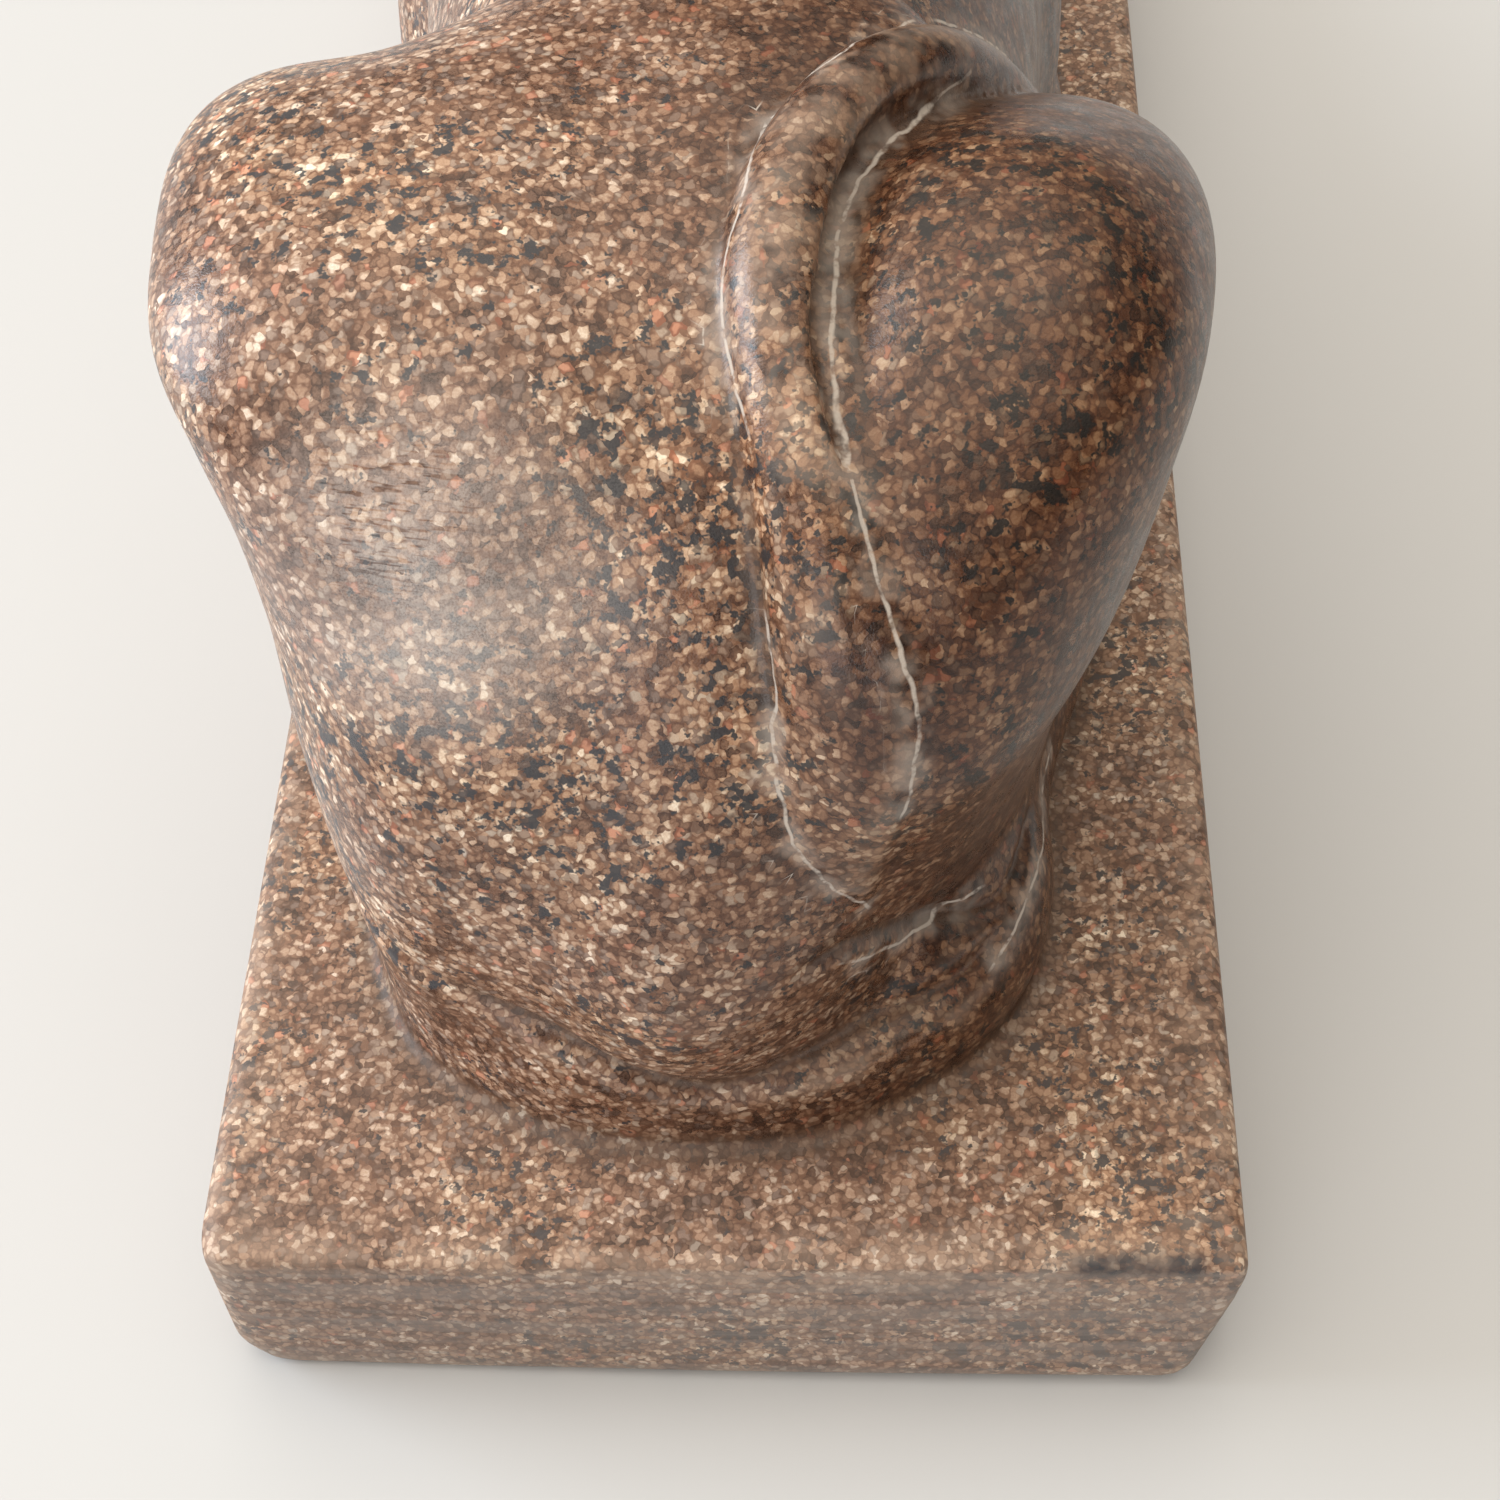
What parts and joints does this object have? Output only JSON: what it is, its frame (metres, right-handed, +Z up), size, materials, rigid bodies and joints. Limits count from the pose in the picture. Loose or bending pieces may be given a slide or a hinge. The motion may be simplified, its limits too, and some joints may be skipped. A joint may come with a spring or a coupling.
{
  "type": "sphinx statue",
  "caption": "Recumbent sphinx with a human head in a pleated headcloth, its tail curled over the right haunch, carved with its low plinth from one block of granite.",
  "frame": {"origin": "centre of the plinth's underside, on the surface that the statue stands on", "axes": "+Z up; the sphinx faces -Y, its rump and tail are towards +Y, and its right side is -X"},
  "size_m": [0.203, 0.5299, 0.359],
  "materials": {
    "granite": "polished speckled brown granite, worn to satin on the plinth"
  },
  "bodies": {
    "root": {"sphinx": "granite"}
  },
  "joints": []
}
